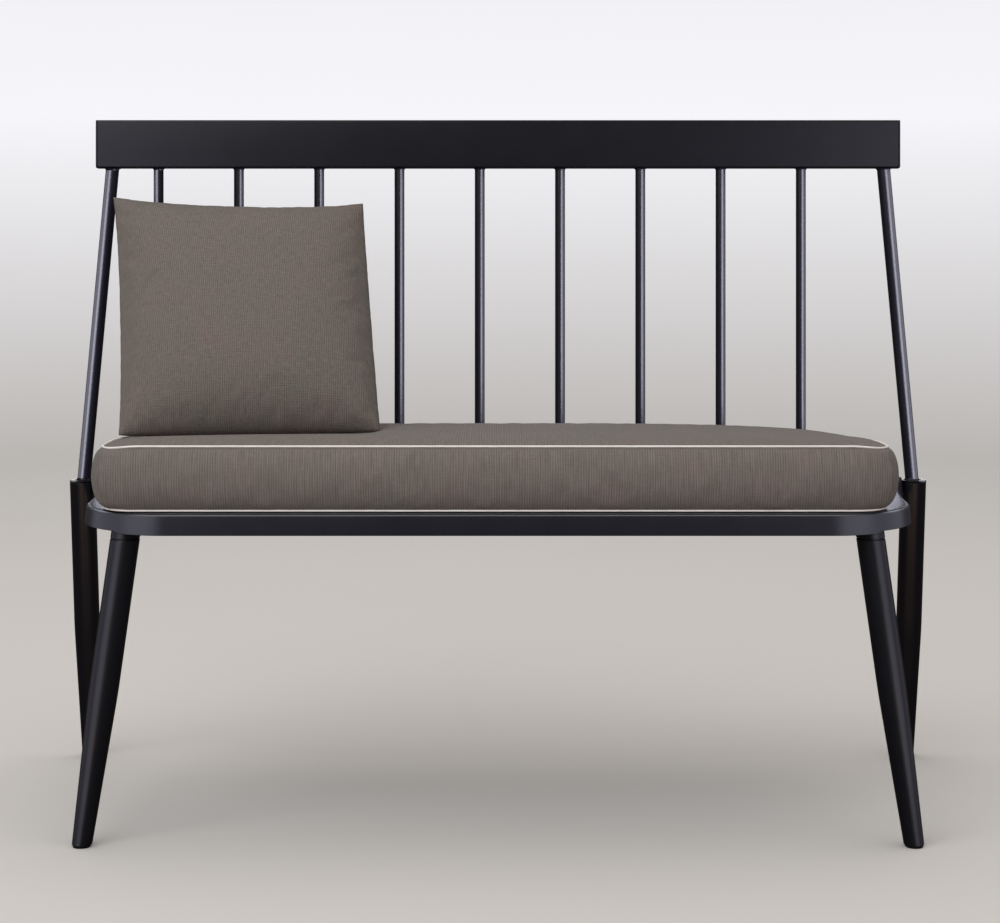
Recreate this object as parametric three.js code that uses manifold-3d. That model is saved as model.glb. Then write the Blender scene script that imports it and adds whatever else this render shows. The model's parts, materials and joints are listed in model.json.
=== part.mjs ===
// Entryway bench: a steel spindle-back bench with a boxed seat cushion and one throw pillow.
// Millimetres. X runs along the bench, the sitter faces -Y, +Z is up, and the floor is Z = 0.
// The origin is on the floor, under the middle of the bench.
import * as THREE from 'three';
import { mergeVertices } from 'three/addons/utils/BufferGeometryUtils.js';
import Module from 'manifold-3d';

const wasm = await Module();
wasm.setup();

// Sides of a round tube, and of a small round such as a bolt or a spindle
const ROUND = 20;
const SMALL_ROUND = 12;

// ---------------------------------------------------------------- driving dimensions

const GAP = 0.3; // air between pieces that touch on the real bench
const SPARE = 20; // how far a blank runs past the planes it is trimmed to

// Pressed seat pan
const PAN_TOP = 442.5;
const PAN_APRON = 29; // height of the turned-down rim
const PAN_SHEET = 2;
const PAN_RIM = 5; // outside bend radius of the rim
const PAN_FLARE = 3; // how far the apron leans out at its lower edge
const PAN_FRONT = -223;
const PAN_REAR = 222;
const PAN_HALF_FRONT = 567; // half width behind the front corners
const PAN_HALF_REAR = 609.4; // half width where the sides meet the rear legs
const PAN_CORNER = 122;
const PAN_REAR_CORNER = 15;
const PAN_SIDE_END = 188; // Y where the curved sides end at the rear legs
const PAN_SIDE_BOW = [572, 60]; // X and Y of the point that shapes the curved sides
const PAN_BOTTOM = PAN_TOP - PAN_APRON;
const PAN_UNDERSIDE = PAN_TOP - PAN_SHEET;

// Bars under the pan
const BAR = 20;
const BAR_WALL = 1.5;
const BAR_EDGE = 2; // corner radius of a bar's section
const BAR_ROOT = 1; // gap left for the weld where a cross bar meets a side bar
const BAR_MID_Z = PAN_UNDERSIDE - GAP - BAR / 2;
const SIDE_BAR_START = [508, -148];
const SIDE_BAR_END = [584, 180];
const CROSS_BARS = { front: -120, middle: 40 };
const REAR_BAR_HALF = 572;

// Legs: tapered round tubes, as foot centre and top centre on the axis
const LEG_R = 19.2;
const LEG_WALL = 1.6;
const LEG_FOOT_R = 13.3;
const LEG_TAPER = 206; // height up the axis where the taper ends
const FRONT_FOOT = [554.7, -251.5, 0];
const FRONT_TOP = [501.8, -187, 405];
const REAR_FOOT = [631.7, 251.5, 0];
const REAR_TOP = [629.7, 202, 436];
const GLIDE_PAD = 3; // thickness of the glide below the tube
const GLIDE_PLUG = 22;
const GLIDE_SOLE_SET_IN = 0.9; // how much smaller the sole is than the tube
const SPIGOT_LENGTH = 42; // how far the stub's spigot reaches into the front leg
const SPIGOT_WALL = 3;
const CAP_PLATE = 3;
const CAP_PLUG = 6;
const CAP_OVERLAP = 1; // how far the cap's plug runs into its plate
const LEG_NOTCH = [300, 460]; // heights up a rear leg between which the pan is cut clear of it

// Back frame, drawn in its own plane, which leans back about the tops of the rear legs
const BACK_LEAN = 4.6; // degrees
const POST_R = 10;
const POST_WALL = 1.5;
const POST_FOOT_X = 627.5;
const POST_TOP_X = 584.3;
const POST_SINK = 25; // how far a post reaches down into its leg
const RAIL_LENGTH = 1216;
const RAIL_HEIGHT = 72;
const RAIL_DEPTH = 22;
const RAIL_WALL = 1.5;
const RAIL_EDGE = 2.5; // corner radius of the rail's section
const RAIL_CAP = 2.5;
const RAIL_CAP_PLUG = 12; // how far an end cap's plug reaches into the rail
const RAIL_CAP_PLUG_EDGE = 1;
const RAIL_BOTTOM = 472; // height of the rail's lower face in the back's own plane
const SPINDLES = 9;
const SPINDLE_R = 7.5;
const SPINDLE_WALL = 1.2;
const SPINDLE_PITCH = 121.7;
const SPINDLE_MIDDLE = -27.7; // the row of spindles stands off centre, towards the left end

// Fasteners
const BOLT_R = 4;
const BOLT_HEAD_R = 7;
const BOLT_HEAD = 4;
const STUB_BOLT_LENGTH = 10;
const STUB_BOLT_DROP = 20; // below the top of the front leg
const APRON_BOLT_LENGTH = 11;
const APRON_BOLT_Z = 422;
const APRON_BOLT_STAND = 1.6; // from the apron's inner face to the seat of the bolt's head
const SCREW_R = 3;
const SCREW_HEAD_R = 5;
const SCREW_HEAD = 2.5;
const SCREW_LENGTH = 6;
const SCREW_DROP = 15; // below the top of the rear leg
const HOLE_SPARE = 2; // how far a bolt hole is cut past both ends of the shank

// Seat cushion
const CUSHION_WIDTH = 1092;
const CUSHION_FRONT = -222;
const CUSHION_REAR = 172;
const CUSHION_HEIGHT = 87;
const CUSHION_CORNER = 48;
const CUSHION_EDGE = 14; // rounding of the sides into the top and bottom
const COVER_CLOTH = 2;
const PIPING = 3;
const ZIP_LENGTH = 620;
const ZIP_HEIGHT = 6;
const SLIDER_LENGTH = 14;
const SLIDER_DEPTH = 3;
const SLIDER_PLACE = 20; // from the end of the zip to the middle of its slider
const CUSHION_BOTTOM = PAN_TOP + GAP;

// Throw pillow: its middle plane leans back over the seat cushion
const PILLOW_CORNERS = [[-165, 0], [205, 0], [169, 395], [-210, 412]];
const PILLOW_THICK = 124;
const PILLOW_CROWN = 95; // how far in from the edge the faces reach full thickness
const PILLOW_SEAM = 4; // thickness at the edge
const PILLOW_LEAN = 35.6; // degrees
const PILLOW_X = -371;
const PILLOW_FOOT = [-18, CUSHION_BOTTOM + CUSHION_HEIGHT + 2]; // Y and Z of the lower edge
const PILLOW_ZIP = 260;
const PILLOW_ZIP_X = 20;
const PILLOW_ZIP_UP = 18; // height of the zip above the lower edge

// ---------------------------------------------------------------- materials

function material(color, roughness, metalness) {
  return new THREE.MeshStandardMaterial({ color, roughness, metalness });
}

const BLACK_STEEL = material(0x24252b, 0.5, 0.4);
const BLACK_FASTENER = material(0x1b1b1e, 0.4, 0.7);
const BLACK_PLASTIC = material(0x151516, 0.6, 0);
const TAUPE_FABRIC = material(0x6f675f, 0.95, 0);
const CREAM_PIPING = material(0xe6ddd8, 0.85, 0);
const FOAM = material(0xe9dfc2, 0.95, 0);
const FILLING = material(0xf4f4f2, 1, 0);
const ZIP_TAPE = material(0x5d564f, 0.8, 0);

// ---------------------------------------------------------------- solids

function toSolid(geometry) {
  const bare = geometry.clone();
  bare.deleteAttribute('normal');
  bare.deleteAttribute('uv');
  const merged = mergeVertices(bare, 1e-3);
  const vertProperties = Float32Array.from(merged.attributes.position.array);
  const triVerts = Uint32Array.from(merged.index.array);
  return new wasm.Manifold(new wasm.Mesh({ numProp: 3, vertProperties, triVerts }));
}

function toGeometry(solid) {
  const mesh = solid.getMesh();
  const geometry = new THREE.BufferGeometry();
  geometry.setAttribute('position', new THREE.BufferAttribute(mesh.vertProperties, 3));
  geometry.setIndex(new THREE.BufferAttribute(mesh.triVerts, 1));
  geometry.computeVertexNormals();
  return geometry;
}

function cut(geometry, ...tools) {
  return toGeometry(tools.reduce((solid, tool) => solid.subtract(toSolid(tool)), toSolid(geometry)));
}

function join(geometry, ...others) {
  return toGeometry(others.reduce((solid, other) => solid.add(toSolid(other)), toSolid(geometry)));
}

// Keeps what lies between two heights.
function between(geometry, low, high) {
  const wide = 2 * RAIL_LENGTH;
  const box = new THREE.BoxGeometry(wide, wide, high - low).translate(0, 0, (low + high) / 2);
  return toGeometry(toSolid(geometry).intersect(toSolid(box)));
}

// A turned piece: profile of [radius, height] about +Z.
function turned(profile, segments = ROUND) {
  const points = profile.map(([radius, height]) => new THREE.Vector2(radius, height));
  return new THREE.LatheGeometry(points, segments).rotateX(Math.PI / 2);
}

// A closed ring profile for a tube: outer [radius, height] pairs, bottom to top, and its wall.
function tubeProfile(outer, wall) {
  const inner = outer.map(([radius, height]) => [radius - wall, height]).reverse();
  return [...outer, ...inner, outer[0]];
}

// Turns a piece from +Z to a direction.
function aimed(geometry, direction) {
  const up = new THREE.Vector3(0, 0, 1);
  const turn = new THREE.Quaternion().setFromUnitVectors(up, direction.clone().normalize());
  return geometry.applyQuaternion(turn);
}

function roundedRectangle(width, height, radius) {
  const x = width / 2;
  const y = height / 2;
  const shape = new THREE.Shape();
  shape.moveTo(-x + radius, -y);
  shape.lineTo(x - radius, -y);
  shape.absarc(x - radius, -y + radius, radius, -Math.PI / 2, 0);
  shape.lineTo(x, y - radius);
  shape.absarc(x - radius, y - radius, radius, 0, Math.PI / 2);
  shape.lineTo(-x + radius, y);
  shape.absarc(-x + radius, y - radius, radius, Math.PI / 2, Math.PI);
  shape.lineTo(-x, -y + radius);
  shape.absarc(-x + radius, -y + radius, radius, Math.PI, 1.5 * Math.PI);
  return shape;
}

function extruded(shape, depth, curveSegments = 3) {
  return new THREE.ExtrudeGeometry(shape, { depth, curveSegments, bevelEnabled: false });
}

// A bar of hollow rectangular section along +Z, with its middle at the origin.
function hollowBar(width, height, radius, wall, length) {
  const section = roundedRectangle(width, height, radius);
  section.holes.push(roundedRectangle(width - 2 * wall, height - 2 * wall, Math.max(radius - wall, 0.5)));
  return extruded(section, length, 2).translate(0, 0, -length / 2);
}

// A bolt along +Z: the head's seat is at z = 0, the head below it and the shank above.
function bolt(shankRadius, headRadius, head, shank) {
  return turned([
    [0, -head],
    [headRadius * 0.8, -head],
    [headRadius, -head * 0.6],
    [headRadius, 0],
    [shankRadius, 0],
    [shankRadius, shank],
    [0, shank],
  ], SMALL_ROUND);
}

function rod(radius, length, segments = SMALL_ROUND) {
  return turned([[0, 0], [radius, 0], [radius, length], [0, length]], segments);
}

// ---------------------------------------------------------------- the group that is exported

const bench = new THREE.Group();

function add(parent, name, geometry, finish, [x, y, z] = [0, 0, 0]) {
  const mesh = new THREE.Mesh(geometry, finish);
  mesh.name = name;
  mesh.position.set(x, y, z);
  parent.add(mesh);
  return mesh;
}

const SIDES = { left: -1, right: 1 };

function mirrored([x, y, z], sign) {
  return new THREE.Vector3(sign * x, y, z);
}

// Where a leg's or post's axis passes a height.
function onAxis(foot, top, z) {
  return foot.clone().lerp(top, (z - foot.z) / (top.z - foot.z));
}

// ---------------------------------------------------------------- legs

// Every leg piece is drawn with its own foot centre as origin.
function legTube(foot, top, zLow, zHigh) {
  const axis = top.clone().sub(foot);
  const profile = tubeProfile([
    [LEG_FOOT_R - SPARE * (LEG_R - LEG_FOOT_R) / LEG_TAPER, -SPARE],
    [LEG_R, LEG_TAPER],
    [LEG_R, axis.length() + SPARE],
  ], LEG_WALL);
  return between(aimed(turned(profile), axis), zLow, zHigh);
}

function footGlide(foot, top) {
  const axis = top.clone().sub(foot);
  const soleR = LEG_FOOT_R - GLIDE_SOLE_SET_IN;
  const plugLowR = LEG_FOOT_R - LEG_WALL - GAP - SPARE * (LEG_R - LEG_FOOT_R) / LEG_TAPER;
  const plugHighR = LEG_FOOT_R - LEG_WALL - GAP + GLIDE_PLUG * (LEG_R - LEG_FOOT_R) / LEG_TAPER;
  const plug = turned([[0, -SPARE], [plugLowR, -SPARE], [plugHighR, GLIDE_PLUG], [0, GLIDE_PLUG]]);
  const pad = turned([[0, -SPARE], [soleR, -SPARE], [soleR, SPARE], [0, SPARE]]);
  return join(
    between(aimed(plug, axis), 0, 2 * GLIDE_PLUG),
    between(aimed(pad, axis), 0, GLIDE_PAD - GAP),
  );
}

// A direction turned square to an axis.
function squareTo(axis, direction) {
  return direction.clone().projectOnPlane(axis.clone().normalize()).normalize();
}

// A point on the surface of a leg, a gap proud of it, on the side that faces away from a direction.
function seatBehind(point, direction) {
  return point.clone().addScaledVector(direction, -(LEG_R + GAP));
}

// A clearance hole for a shank, cut past both of its ends.
function boltHole(radius, seat, direction, length) {
  const start = seat.clone().addScaledVector(direction, -HOLE_SPARE);
  const tool = rod(radius + GAP, length + 2 * HOLE_SPARE);
  return aimed(tool, direction).translate(start.x, start.y, start.z);
}

const FORWARD = new THREE.Vector3(0, -1, 0);

for (const [side, sign] of Object.entries(SIDES)) {
  // Front leg: slides over the spigot of a stub that is welded under the pan.
  const foot = mirrored(FRONT_FOOT, sign);
  const top = mirrored(FRONT_TOP, sign);
  const axis = top.clone().sub(foot);
  const length = axis.length();
  const forward = squareTo(axis, FORWARD);
  const boltSeat = seatBehind(onAxis(foot, top, FRONT_TOP[2] - STUB_BOLT_DROP), forward);
  const hole = boltHole(BOLT_R, boltSeat.clone().sub(foot), forward, STUB_BOLT_LENGTH);
  const tube = cut(legTube(foot, top, GLIDE_PAD, FRONT_TOP[2] - GAP), hole);
  add(bench, `front_leg_${side}`, tube, BLACK_STEEL, foot.toArray());
  add(bench, `foot_glide_front_${side}`, footGlide(foot, top), BLACK_PLASTIC, foot.toArray());

  const spigotR = LEG_R - LEG_WALL - GAP;
  const boreR = spigotR - SPIGOT_WALL;
  const stubTop = PAN_UNDERSIDE - GAP;
  const reach = length + stubTop - FRONT_TOP[2] + SPARE;
  const collar = turned(tubeProfile([[LEG_R, length - SPARE], [LEG_R, reach]], LEG_R - boreR));
  const spigot = turned(tubeProfile([[spigotR, length - SPIGOT_LENGTH], [spigotR, length]], SPIGOT_WALL));
  const stub = join(between(aimed(collar, axis), FRONT_TOP[2], stubTop), aimed(spigot, axis));
  add(bench, `front_leg_stub_${side}`, cut(stub, hole), BLACK_STEEL, foot.toArray());
  const frontBolt = aimed(bolt(BOLT_R, BOLT_HEAD_R, BOLT_HEAD, STUB_BOLT_LENGTH), forward);
  add(bench, `front_leg_bolt_${side}`, frontBolt, BLACK_FASTENER, boltSeat.toArray());
}

const rearLegEnvelopes = [];
const apronBoltHoles = [];

for (const [side, sign] of Object.entries(SIDES)) {
  // Rear leg: runs up past the pan's side to a cap that the back post passes through.
  const foot = mirrored(REAR_FOOT, sign);
  const top = mirrored(REAR_TOP, sign);
  const outward = new THREE.Vector3(sign, 0, 0);
  const boltSeat = onAxis(foot, top, APRON_BOLT_Z);
  boltSeat.x -= sign * (LEG_R + PAN_SHEET + APRON_BOLT_STAND);
  const apronHole = boltHole(BOLT_R, boltSeat, outward, APRON_BOLT_LENGTH);
  const legHole = boltHole(BOLT_R, boltSeat.clone().sub(foot), outward, APRON_BOLT_LENGTH);
  const forward = squareTo(top.clone().sub(foot), FORWARD);
  const screwSeat = seatBehind(onAxis(foot, top, REAR_TOP[2] - SCREW_DROP), forward);
  const screwHole = boltHole(SCREW_R, screwSeat.clone().sub(foot), forward, SCREW_LENGTH);
  const tube = cut(legTube(foot, top, GLIDE_PAD, REAR_TOP[2] - CAP_PLATE - GAP), legHole, screwHole);
  add(bench, `rear_leg_${side}`, tube, BLACK_STEEL, foot.toArray());
  add(bench, `foot_glide_rear_${side}`, footGlide(foot, top), BLACK_PLASTIC, foot.toArray());

  const seatBolt = aimed(bolt(BOLT_R, BOLT_HEAD_R, BOLT_HEAD, APRON_BOLT_LENGTH), outward);
  add(bench, `rear_leg_bolt_${side}`, seatBolt, BLACK_FASTENER, boltSeat.toArray());
  const postScrew = aimed(bolt(SCREW_R, SCREW_HEAD_R, SCREW_HEAD, SCREW_LENGTH), forward);
  add(bench, `back_post_screw_${side}`, postScrew, BLACK_FASTENER, screwSeat.toArray());

  const [notchLow, notchHigh] = LEG_NOTCH;
  const envelope = rod(LEG_R + GAP, notchHigh - notchLow, ROUND).translate(0, 0, notchLow);
  rearLegEnvelopes.push(aimed(envelope, top.clone().sub(foot)).translate(foot.x, foot.y, foot.z));
  apronBoltHoles.push(apronHole);
}

// ---------------------------------------------------------------- seat pan and its bars

function panOutline() {
  const sideStart = PAN_FRONT + PAN_CORNER;
  const [bowX, bowY] = PAN_SIDE_BOW;
  const shape = new THREE.Shape();
  shape.moveTo(-PAN_HALF_FRONT + PAN_CORNER, PAN_FRONT);
  shape.lineTo(PAN_HALF_FRONT - PAN_CORNER, PAN_FRONT);
  shape.absarc(PAN_HALF_FRONT - PAN_CORNER, sideStart, PAN_CORNER, -Math.PI / 2, 0);
  shape.quadraticCurveTo(bowX, bowY, PAN_HALF_REAR, PAN_SIDE_END);
  shape.lineTo(PAN_HALF_REAR, PAN_REAR - PAN_REAR_CORNER);
  const rearX = PAN_HALF_REAR - PAN_REAR_CORNER;
  const rearY = PAN_REAR - PAN_REAR_CORNER;
  shape.absarc(rearX, rearY, PAN_REAR_CORNER, 0, Math.PI / 2);
  shape.lineTo(-rearX, PAN_REAR);
  shape.absarc(-rearX, rearY, PAN_REAR_CORNER, Math.PI / 2, Math.PI);
  shape.lineTo(-PAN_HALF_REAR, PAN_SIDE_END);
  shape.quadraticCurveTo(-bowX, bowY, -PAN_HALF_FRONT, sideStart);
  shape.absarc(-PAN_HALF_FRONT + PAN_CORNER, sideStart, PAN_CORNER, Math.PI, 1.5 * Math.PI);
  return shape;
}

// Solid with the pan's outline, inset all round, with a rounded top edge and a flared lower edge.
function panForm(inset, height, rim) {
  const geometry = new THREE.ExtrudeGeometry(panOutline(), {
    depth: height - rim,
    curveSegments: 8,
    bevelThickness: rim,
    bevelSize: rim,
    bevelOffset: -rim - inset,
    bevelSegments: 2,
  });
  const position = geometry.attributes.position;
  const straight = PAN_APRON - PAN_RIM;
  for (let i = 0; i < position.count; i += 1) {
    const flare = PAN_FLARE * Math.max(0, (straight - position.getZ(i)) / straight);
    position.setX(i, position.getX(i) * (1 + flare / PAN_HALF_REAR));
    position.setY(i, position.getY(i) * (1 + flare / PAN_REAR));
  }
  return geometry;
}

function seatPan() {
  const outer = between(panForm(0, PAN_APRON, PAN_RIM), 0, PAN_APRON);
  const hollow = panForm(PAN_SHEET, PAN_APRON - PAN_SHEET, PAN_RIM - PAN_SHEET);
  const shell = cut(outer, hollow).translate(0, 0, PAN_BOTTOM);
  return cut(shell, ...rearLegEnvelopes, ...apronBoltHoles);
}

add(bench, 'seat_pan', seatPan(), BLACK_STEEL);

// X of a side bar's middle at a given Y.
function sideBarX(y) {
  const [x0, y0] = SIDE_BAR_START;
  const [x1, y1] = SIDE_BAR_END;
  return x0 + (x1 - x0) * (y - y0) / (y1 - y0);
}

for (const [side, sign] of Object.entries(SIDES)) {
  const start = mirrored([...SIDE_BAR_START, BAR_MID_Z], sign);
  const end = mirrored([...SIDE_BAR_END, BAR_MID_Z], sign);
  const run = end.clone().sub(start);
  const bar = hollowBar(BAR, BAR, BAR_EDGE, BAR_WALL, run.length()).rotateX(-Math.PI / 2);
  bar.rotateZ(-Math.atan2(run.x, run.y));
  add(bench, `seat_side_bar_${side}`, bar, BLACK_STEEL, start.lerp(end, 0.5).toArray());
}

function crossBar(halfLength) {
  return hollowBar(BAR, BAR, BAR_EDGE, BAR_WALL, 2 * halfLength).rotateY(Math.PI / 2);
}

for (const [place, y] of Object.entries(CROSS_BARS)) {
  const halfLength = sideBarX(y - BAR / 2) - BAR / 2 - BAR_ROOT;
  add(bench, `seat_cross_bar_${place}`, crossBar(halfLength), BLACK_STEEL, [0, y, BAR_MID_Z]);
}
add(bench, 'seat_cross_bar_rear', crossBar(REAR_BAR_HALF), BLACK_STEEL, [0, REAR_TOP[1], BAR_MID_Z]);

// ---------------------------------------------------------------- back frame

const back = new THREE.Group();
back.position.set(0, REAR_TOP[1], REAR_TOP[2]);
back.rotation.x = -THREE.MathUtils.degToRad(BACK_LEAN);
bench.add(back);

const railMidZ = RAIL_BOTTOM + RAIL_HEIGHT / 2;
const railTubeLength = RAIL_LENGTH - 2 * (RAIL_CAP + GAP);
const railTube = hollowBar(RAIL_DEPTH, RAIL_HEIGHT, RAIL_EDGE, RAIL_WALL, railTubeLength);
railTube.rotateY(Math.PI / 2).rotateX(Math.PI / 2);
add(back, 'top_rail', railTube, BLACK_STEEL, [0, 0, railMidZ]);

for (const [side, sign] of Object.entries(SIDES)) {
  const plate = extruded(roundedRectangle(RAIL_DEPTH, RAIL_HEIGHT, RAIL_EDGE), RAIL_CAP);
  const inside = 2 * (RAIL_WALL + GAP);
  const plugShape = roundedRectangle(RAIL_DEPTH - inside, RAIL_HEIGHT - inside, RAIL_CAP_PLUG_EDGE);
  const plug = extruded(plugShape, RAIL_CAP_PLUG + RAIL_CAP / 2).translate(0, 0, -RAIL_CAP_PLUG);
  const cap = join(plate, plug);
  cap.rotateY(Math.PI / 2).rotateX(Math.PI / 2);
  if (sign < 0) cap.rotateZ(Math.PI);
  const x = sign * (RAIL_LENGTH / 2 - RAIL_CAP);
  add(back, `rail_end_cap_${side}`, cap, BLACK_STEEL, [x, 0, railMidZ]);
}

// The spindles stand square to the rail, so their lower ends clear the pan by a gap at the lowest point.
const lean = THREE.MathUtils.degToRad(BACK_LEAN);
const spindleFoot = (PAN_TOP + GAP - REAR_TOP[2]) / Math.cos(lean) + SPINDLE_R * Math.tan(lean);
const spindleEnds = [[SPINDLE_R, spindleFoot], [SPINDLE_R, RAIL_BOTTOM - GAP]];
const spindleProfile = tubeProfile(spindleEnds, SPINDLE_WALL);
for (let i = 0; i < SPINDLES; i += 1) {
  const x = SPINDLE_MIDDLE + (i - (SPINDLES - 1) / 2) * SPINDLE_PITCH;
  add(back, `spindle_${i + 1}`, turned(spindleProfile, SMALL_ROUND), BLACK_STEEL, [x, 0, 0]);
}

const postAxis = (sign) => new THREE.Vector3(sign * (POST_TOP_X - POST_FOOT_X), 0, RAIL_BOTTOM);

for (const [side, sign] of Object.entries(SIDES)) {
  const length = postAxis(sign).length();
  const profile = tubeProfile([[POST_R, -POST_SINK - SPARE], [POST_R, length + SPARE]], POST_WALL);
  const post = between(aimed(turned(profile), postAxis(sign)), -POST_SINK, RAIL_BOTTOM - GAP);
  add(back, `back_post_${side}`, post, BLACK_STEEL, [sign * POST_FOOT_X, 0, 0]);

  // Cap: a flat ring on top of the rear leg, with a short plug inside the tube.
  const foot = mirrored(REAR_FOOT, sign);
  const top = mirrored(REAR_TOP, sign);
  const legAxis = top.clone().sub(foot);
  const legLength = legAxis.length();
  const plate = rod(LEG_R, 2 * SPARE, ROUND).translate(0, 0, legLength - SPARE);
  const plug = rod(LEG_R - LEG_WALL - GAP, 2 * SPARE, ROUND).translate(0, 0, legLength - SPARE);
  const capTop = REAR_TOP[2];
  const plateLow = capTop - CAP_PLATE;
  const solid = join(
    between(aimed(plate, legAxis), plateLow, capTop),
    between(aimed(plug, legAxis), plateLow - CAP_PLUG, plateLow + CAP_OVERLAP),
  );
  const shaft = aimed(rod(POST_R + GAP, 4 * SPARE, ROUND).translate(0, 0, -2 * SPARE), postAxis(sign));
  shaft.rotateX(back.rotation.x);
  shaft.translate(sign * POST_FOOT_X - foot.x, REAR_TOP[1] - foot.y, capTop);
  add(bench, `rear_leg_cap_${side}`, cut(solid, shaft), BLACK_STEEL, foot.toArray());
}

// ---------------------------------------------------------------- seat cushion

const cushionDepth = CUSHION_REAR - CUSHION_FRONT;
const cushionY = (CUSHION_REAR + CUSHION_FRONT) / 2;
const pipingHeights = {
  top: CUSHION_BOTTOM + CUSHION_HEIGHT - PIPING,
  bottom: CUSHION_BOTTOM,
};

// Boxed cushion form with rounded long edges, inset all round.
function cushionForm(inset) {
  const outline = roundedRectangle(CUSHION_WIDTH, cushionDepth, CUSHION_CORNER);
  return new THREE.ExtrudeGeometry(outline, {
    depth: CUSHION_HEIGHT - 2 * CUSHION_EDGE,
    curveSegments: 4,
    bevelThickness: CUSHION_EDGE - inset,
    bevelSize: CUSHION_EDGE - inset,
    bevelOffset: -CUSHION_EDGE,
    bevelSegments: 2,
  }).translate(0, cushionY, CUSHION_BOTTOM + CUSHION_EDGE);
}

// A cord of square section round the cushion, let into its top or bottom edge.
function pipingRing(spare) {
  const outerInset = CUSHION_EDGE - PIPING - spare;
  const innerInset = CUSHION_EDGE + spare;
  const rings = [outerInset, innerInset].map((inset) => roundedRectangle(
    CUSHION_WIDTH - 2 * inset,
    cushionDepth - 2 * inset,
    CUSHION_CORNER - inset,
  ));
  rings[0].holes.push(rings[1]);
  return extruded(rings[0], PIPING + 2 * spare, 4).translate(0, cushionY, -spare);
}

// The cushion form with both piping grooves cut out of it.
function groovedForm(inset) {
  const grooves = Object.values(pipingHeights).map((z) => pipingRing(inset + GAP).translate(0, 0, z));
  return cut(cushionForm(inset), ...grooves);
}

// Zip: two woven tapes shown as one strip, with the slider standing proud at one end.
function zip(length) {
  const tape = new THREE.BoxGeometry(length, COVER_CLOTH, ZIP_HEIGHT);
  const slider = new THREE.BoxGeometry(SLIDER_LENGTH, SLIDER_DEPTH, ZIP_HEIGHT - 1);
  return join(tape, slider.translate(length / 2 - SLIDER_PLACE, SLIDER_DEPTH / 2, 0));
}

function zipSlot(length) {
  return new THREE.BoxGeometry(length + 2 * GAP, 4 * COVER_CLOTH, ZIP_HEIGHT + 2 * GAP);
}

const cushionZipPlace = [0, CUSHION_REAR - COVER_CLOTH / 2, CUSHION_BOTTOM + CUSHION_HEIGHT / 2];
const cushionSlot = zipSlot(ZIP_LENGTH).translate(...cushionZipPlace);
const cushionCover = cut(groovedForm(0), groovedForm(COVER_CLOTH), cushionSlot);
add(bench, 'seat_cushion_cover', cushionCover, TAUPE_FABRIC);
add(bench, 'seat_cushion_foam', groovedForm(COVER_CLOTH + GAP), FOAM);
add(bench, 'seat_cushion_zip', zip(ZIP_LENGTH), ZIP_TAPE, cushionZipPlace);
for (const [place, z] of Object.entries(pipingHeights)) {
  add(bench, `seat_cushion_piping_${place}`, pipingRing(0), CREAM_PIPING, [0, 0, z]);
}

// ---------------------------------------------------------------- throw pillow

// Drawn flat: X across, Y up the pillow from its lower edge, Z out of its front face.
const pillow = new THREE.Group();
pillow.position.set(PILLOW_X, ...PILLOW_FOOT);
pillow.rotation.x = THREE.MathUtils.degToRad(90 - PILLOW_LEAN);
bench.add(pillow);

// Knife-edged form whose faces rise from the seam to a flat crown, inset all round.
function pillowForm(inset) {
  const outline = new THREE.Shape(PILLOW_CORNERS.map(([x, y]) => new THREE.Vector2(x, y)));
  const seam = PILLOW_SEAM - 2 * inset / 3;
  return new THREE.ExtrudeGeometry(outline, {
    depth: seam,
    bevelThickness: (PILLOW_THICK - PILLOW_SEAM) / 2 - inset,
    bevelSize: PILLOW_CROWN,
    bevelOffset: -PILLOW_CROWN - 3 * inset,
    bevelSegments: 1,
  }).translate(0, 0, -seam / 2);
}

// The zip lies in the back face, a little above the lower edge.
const pillowSlope = Math.atan2((PILLOW_THICK - PILLOW_SEAM) / 2, PILLOW_CROWN);
const zipTurn = -Math.PI / 2 - pillowSlope;
const zipOutward = new THREE.Vector3(0, Math.cos(zipTurn), Math.sin(zipTurn));
const zipBack = -PILLOW_SEAM / 2 - PILLOW_ZIP_UP * Math.tan(pillowSlope);
const zipPlace = new THREE.Vector3(PILLOW_ZIP_X, PILLOW_ZIP_UP, zipBack);
zipPlace.addScaledVector(zipOutward, -COVER_CLOTH / 2);
const pillowSlot = zipSlot(PILLOW_ZIP).rotateX(zipTurn).translate(...zipPlace.toArray());
const pillowCover = cut(pillowForm(0), pillowForm(COVER_CLOTH), pillowSlot);
add(pillow, 'throw_pillow_cover', pillowCover, TAUPE_FABRIC);
add(pillow, 'throw_pillow_insert', pillowForm(COVER_CLOTH + GAP), FILLING);
add(pillow, 'throw_pillow_zip', zip(PILLOW_ZIP).rotateX(zipTurn), ZIP_TAPE, zipPlace.toArray());

export default bench;
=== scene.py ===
import json
import math

import bmesh
import bpy
import numpy as np
from mathutils import Matrix, Vector, noise
from mathutils.bvhtree import BVHTree

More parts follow.
